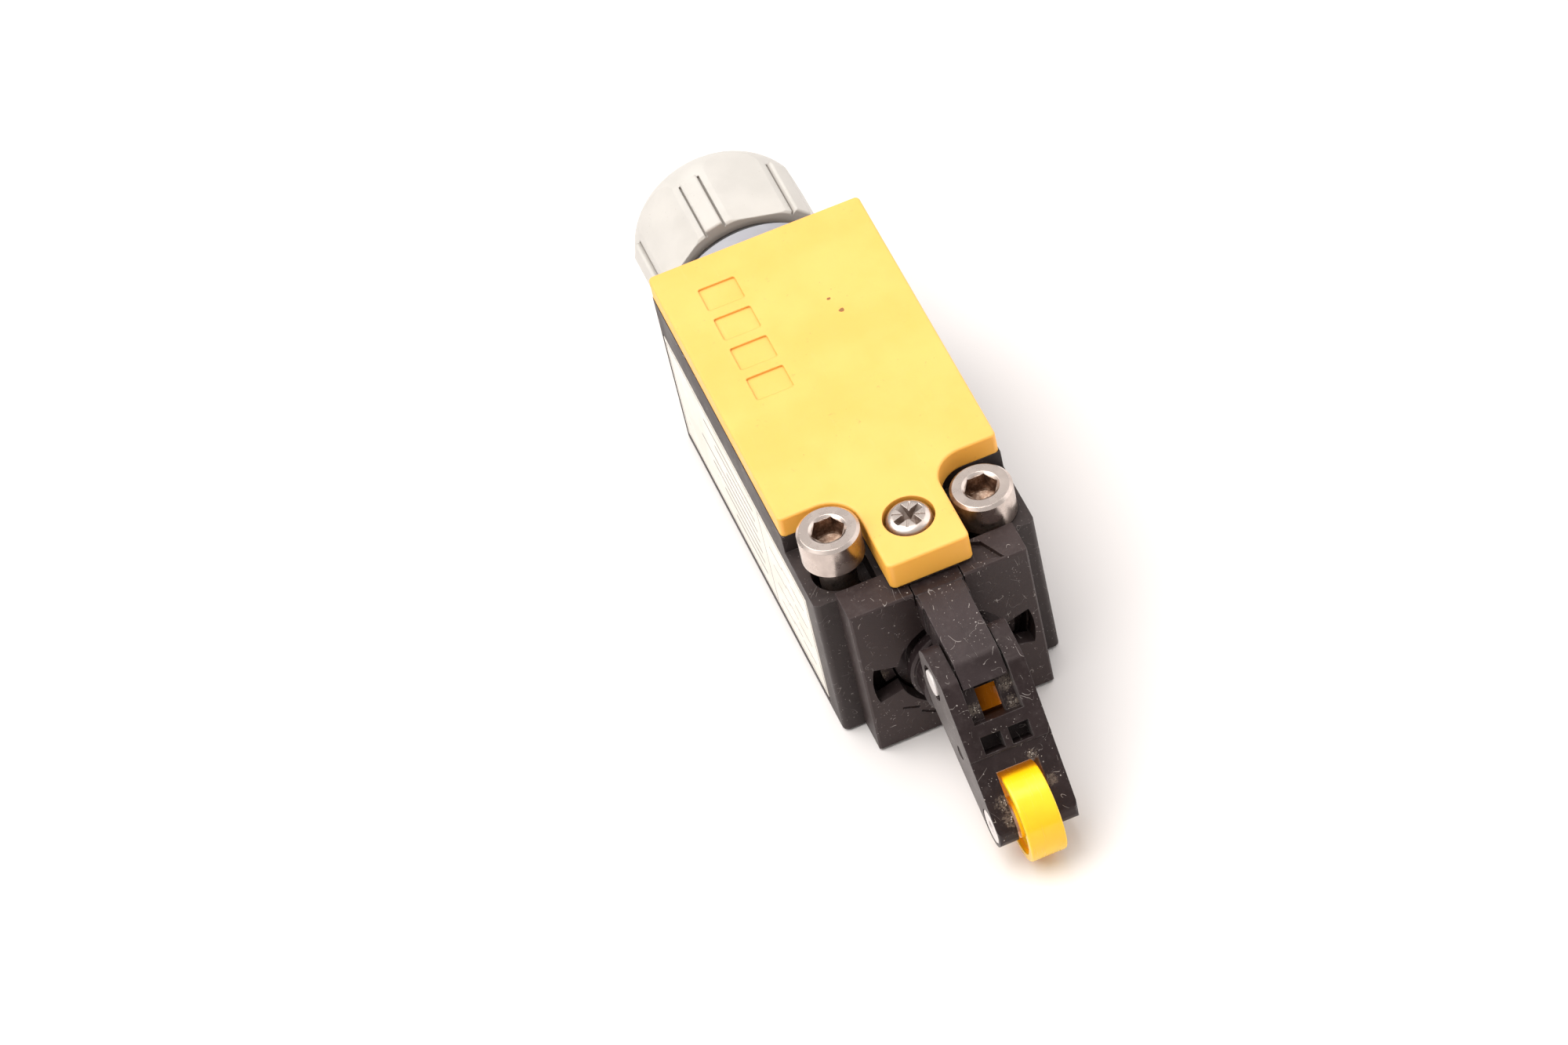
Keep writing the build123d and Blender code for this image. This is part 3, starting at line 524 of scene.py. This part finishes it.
def dress(material, *nodes):
    for node in nodes:
        slots = NODES[node].material_slots
        if not slots:
            NODES[node].data.materials.append(material)
        for slot in slots:
            slot.material = material


SOCKET_REACH = 0.00235       # to the corners of the hexagon in a fixing screw


def dress_everything():
    dress(black_plastic("housing_black", (0.020, 0.0150, 0.0145), (0.031, 0.0245, 0.0240), 0.7, 0.50),
          "housing")
    dress(black_plastic("head_black", (0.0225, 0.0140, 0.0135), (0.034, 0.0230, 0.0225), 1.0, 0.48,
                        seed=2.3, dusty=stains(LOBE_DUST)), "head_block")
    dress(black_plastic("adapter_black", (0.0135, 0.0080, 0.0085), (0.0215, 0.0140, 0.0150), 0.9, 0.42,
                        seed=3.1, dusty=stains(ARM_DUST)), "adapter_bracket")
    dress(black_plastic("lever_black", (0.0120, 0.0070, 0.0070), (0.0200, 0.0125, 0.0130), 1.0, 0.44,
                        seed=4.7, dusty=stains(LEVER_DUST), painted_side_sheen=0.6, shine=0.30), "lever")
    dress(yellow_cover(), "front_cover")
    # the roller gets a painted emission in its recesses
    dress(yellow_gloss("roller_yellow", 0.0, (0.90, 0.540, 0.005), (0.94, 0.590, 0.009), 0.28), "roller")
    # painted shade: the yellow plunger is given darker orange colours, plus a painted emission toward the
    # right
    dress(yellow_gloss("plunger_painted_shade", 3.0, (0.42, 0.090, 0.007), (0.48, 0.115, 0.009), 0.12, True),
          "adapter_plunger")
    dress(yellow_gloss("carrier_yellow", 3.0), "switch_plunger", "contact_carrier")
    for side, seed in (("left", 1.0), ("right", 2.0)):
        screw = "fixing_screw_" + side
        low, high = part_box(screw)
        middle = (low + high) / 2.0
        steel = machined_steel("screw_steel_" + side, middle, seed=seed, socket=(SOCKET_REACH, high.z))
        dress(steel, screw)
    dress(machined_steel("cover_screw_steel", (0.0, -0.00145), (0.68, 0.59, 0.54), 0.6, 4.0), "cover_screw")
    dress(machined_steel("pin_steel", (0.0, -0.03), (0.80, 0.75, 0.73), 0.12, 6.0, metal=0.3, rough=0.42),
          "lever_pin", "roller_pin")
    dress(machined_steel("terminal_steel", (0.0, 0.02), (0.66, 0.65, 0.62), 0.2, 8.0),
          "clamp_plates", "terminal_screws")
    dress(gland_plastic("nut_grey", (0.478, 0.455, 0.425), (0.525, 0.500, 0.468), 0.44, 1.0), "dome_nut")
    dress(gland_plastic("gland_blue_grey", (0.300, 0.303, 0.335), (0.340, 0.343, 0.375), 0.30, 2.0),
          "gland_body", "gland_cage")
    dress(gland_plastic("washer_pale", (0.36, 0.35, 0.42), (0.40, 0.39, 0.46), 0.5, 5.0), "gland_washer")
    dress(rubber(), "gland_seal", "gland_o_ring", "cover_gasket", "plunger_seal")
    dress(label_film(), "rating_label")
    dress(moulded_cream(), "contact_base", "contact_cap")
    dress(contact_brass(), "fixed_contact_nc_left", "fixed_contact_nc_right", "fixed_contact_no_left",
          "fixed_contact_no_right", "nc_bridge", "no_bridge")
    dress(spring_wire(), "return_spring", "nc_bridge_spring", "no_bridge_spring")


# ---- pieces that only the looks need ----------------------------------------------------------
def box_into(mesh, low, high):
    xs, ys, zs = zip(low, high)
    corners = [mesh.verts.new((x, y, z)) for z in zs for y in ys for x in xs]
    for quad in ((0, 2, 3, 1), (4, 5, 7, 6), (0, 1, 5, 4), (2, 6, 7, 3), (0, 4, 6, 2), (1, 3, 7, 5)):
        mesh.faces.new([corners[i] for i in quad])


def new_piece(name, mesh, material, body):
    data = bpy.data.meshes.new(name)
    bmesh.ops.recalc_face_normals(mesh, faces=mesh.faces)
    mesh.to_mesh(data)
    mesh.free()
    piece = bpy.data.objects.new(name, data)
    bpy.context.scene.collection.objects.link(piece)
    data.materials.append(material)
    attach(piece, body)


INK_SKIN = 0.00001           # how far the print stands proud of the label
INK_LINE = 0.00022
TEXT_LINE = 0.00045
LABEL_MARGIN = 0.0005
LABEL_SPLIT = 0.0185         # from the label's front end to the line between its two fields
RULED_ROWS = 7
RULED_STEP = 0.0021
RULED_START = (0.0215, 0.0026)     # from the front end and from the bottom frame line
RULED_SHORTEST = 0.012
RULED_EXTRA = 0.0035
CONTACT_ROWS = 4
CONTACT_STEP = 0.0036
CONTACT_BOTTOM = 0.003
CONTACT_LINES = (0.003, 0.0078, 0.0110, 0.0158)    # ends of a symbol's two lines and of the bar between
CONTACT_LIFT = 0.0006


def label_print():
    """Generic print on the label: a thin frame, ruled lines and contact symbols, with no lettering."""
    low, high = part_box("rating_label")
    front = low.y
    mesh = bmesh.new()

    def ink(y0, y1, z0, z1):
        box_into(mesh, (low.x - INK_SKIN, y0, z0), (low.x + INK_SKIN, y1, z1))

    y0, y1 = front + LABEL_MARGIN, high.y - LABEL_MARGIN
    z0, z1 = low.z + LABEL_MARGIN, high.z - LABEL_MARGIN
    ink(y0, y1, z0, z0 + INK_LINE)
    ink(y0, y1, z1 - INK_LINE, z1)
    for y in (y0, y1 - INK_LINE, front + LABEL_SPLIT):
        ink(y, y + INK_LINE, z0 + INK_LINE, z1 - INK_LINE)
    for row in range(RULED_ROWS):
        y = front + RULED_START[0]
        z = z0 + RULED_START[1] + RULED_STEP * row
        ink(y, y + RULED_SHORTEST + RULED_EXTRA * ((row * 5) % 4), z, z + TEXT_LINE)
    left, bar_left, bar_right, right = (front + along for along in CONTACT_LINES)
    for row in range(CONTACT_ROWS):
        z = z0 + CONTACT_BOTTOM + CONTACT_STEP * row
        ink(left, bar_left, z, z + INK_LINE)
        ink(bar_right, right, z, z + INK_LINE)
        ink(bar_left, bar_right, z + CONTACT_LIFT, z + CONTACT_LIFT + INK_LINE)
    new_piece("label_print", mesh, printed_ink(), "body")


SMALL_GRAIN, LARGE_GRAIN = 0.00003, 0.00009
DROP = 0.001                 # grains fall on the surface from this far


def crumbs(name, node, heaps, material, body):
    """Tiny grains of dust that lie on a node: each heap is a row of dust and the way its surface looks."""
    rng = random.Random(7)
    host = NODES[node]
    into_host = host.matrix_world.inverted()
    mesh = bmesh.new()
    for (place, _stain_reach, reach, grains), outward in heaps:
        outward = Vector(outward).normalized()
        side = outward.orthogonal().normalized()
        other = outward.cross(side)
        lie = outward.to_track_quat("Z", "Y").to_matrix().to_4x4()
        for _ in range(grains):
            angle = rng.uniform(0.0, 2.0 * math.pi)
            away = reach * abs(rng.gauss(0.0, 0.8))
            start = Vector(place) + side * (away * math.cos(angle)) + other * (away * math.sin(angle))
            size = rng.uniform(SMALL_GRAIN, LARGE_GRAIN)
            hit, spot, normal, _face = host.ray_cast(into_host @ (start + outward * DROP),
                                                     into_host.to_3x3() @ -outward, distance=2.0 * DROP)
            if not hit or normal.dot(outward) < 0.7:
                continue
            wide, long, thick = rng.uniform(0.7, 1.6), rng.uniform(0.7, 1.6), rng.uniform(0.5, 0.9)
            stretch = Matrix.Diagonal((wide, long, thick, 1.0))
            turn = Matrix.Rotation(rng.uniform(0.0, 6.28), 4, "Z")
            stand = Matrix.Translation(host.matrix_world @ spot) @ lie @ turn @ stretch
            bmesh.ops.create_icosphere(mesh, subdivisions=1, radius=size, matrix=stand)
    new_piece(name, mesh, material, body)


def dust_grain():
    g = Graph("dust_grain")
    tone = g.noise(2500, 2)
    colour = g.mix(g.band(tone, 0.35, 0.65), (0.30, 0.245, 0.19), (0.50, 0.45, 0.40))
    return g.finish(Base_Color=colour, Roughness=g.blend(g.band(tone, 0.3, 0.7), 0.7, 0.9))


def all_crumbs():
    dust = dust_grain()
    lever_heaps = [(row, LEVER_TOP) for row in LEVER_DUST]
    head_heaps = [(row, FORWARD) for row in LOBE_DUST] + [(row, UP) for row in HEAD_TOP_DUST]
    crumbs("lever_dust", "lever", lever_heaps, dust, "lever")
    crumbs("head_dust", "head_block", head_heaps, dust, "body")


# ---- stage ----------------------------------------------------------------------------------
FLOOR_SIZE = 8.0
FLOOR_GAP = 0.00002                  # below the mounting face
SKY_COLOUR = (1.0, 0.985, 0.97)
SKY_TOP = 0.9                        # the height, of 1 straight up, from which the sky is brightest
SKY_BRIGHTNESS = (0.50, 0.85)        # at the horizon and at the top
LIGHT_AIM = Vector((0, 0.01, 0.01))


def make_floor():
    bpy.ops.mesh.primitive_plane_add(size=FLOOR_SIZE, location=(0, 0, -FLOOR_GAP))
    floor = bpy.context.object
    floor.name = "floor"
    g = Graph("floor_white")
    colour = g.mix(g.band(g.noise(3, 3), 0.3, 0.7), (0.745, 0.712, 0.700), (0.765, 0.738, 0.728))
    floor.data.materials.append(g.finish(Base_Color=colour, Roughness=0.75))


def make_sky():
    world = bpy.data.worlds.new("studio")
    world.use_nodes = True
    tree = world.node_tree
    direction = tree.nodes.new("ShaderNodeTexCoord").outputs["Generated"]
    split = tree.nodes.new("ShaderNodeSeparateXYZ")
    tree.links.new(direction, split.inputs[0])
    height = tree.nodes.new("ShaderNodeMapRange")
    tree.links.new(split.outputs[2], height.inputs["Value"])
    height.inputs["From Min"].default_value = 0.0
    height.inputs["From Max"].default_value = SKY_TOP
    height.inputs["To Min"].default_value = SKY_BRIGHTNESS[0]
    height.inputs["To Max"].default_value = SKY_BRIGHTNESS[1]
    background = tree.nodes["Background"]
    background.inputs[0].default_value = (*SKY_COLOUR, 1.0)
    tree.links.new(height.outputs[0], background.inputs[1])
    bpy.context.scene.world = world


def add_light(name, place, size, power, colour):
    data = bpy.data.lights.new(name, "AREA")
    data.shape = "DISK"
    data.size = size
    data.energy = power
    data.color = colour
    light = bpy.data.objects.new(name, data)
    light.location = place
    light.rotation_euler = (LIGHT_AIM - Vector(place)).to_track_quat("-Z", "Y").to_euler()
    bpy.context.scene.collection.objects.link(light)


make_camera()
dress_everything()
label_print()
all_crumbs()
make_floor()
make_sky()
add_light("key", (-0.38, 0.12, 0.84), 1.20, 12.5, (1.0, 0.985, 0.96))
add_light("fill", (0.62, 0.10, 0.42), 1.00, 2.7, (1.0, 0.97, 0.955))
bpy.context.scene.view_settings.view_transform = "Standard"
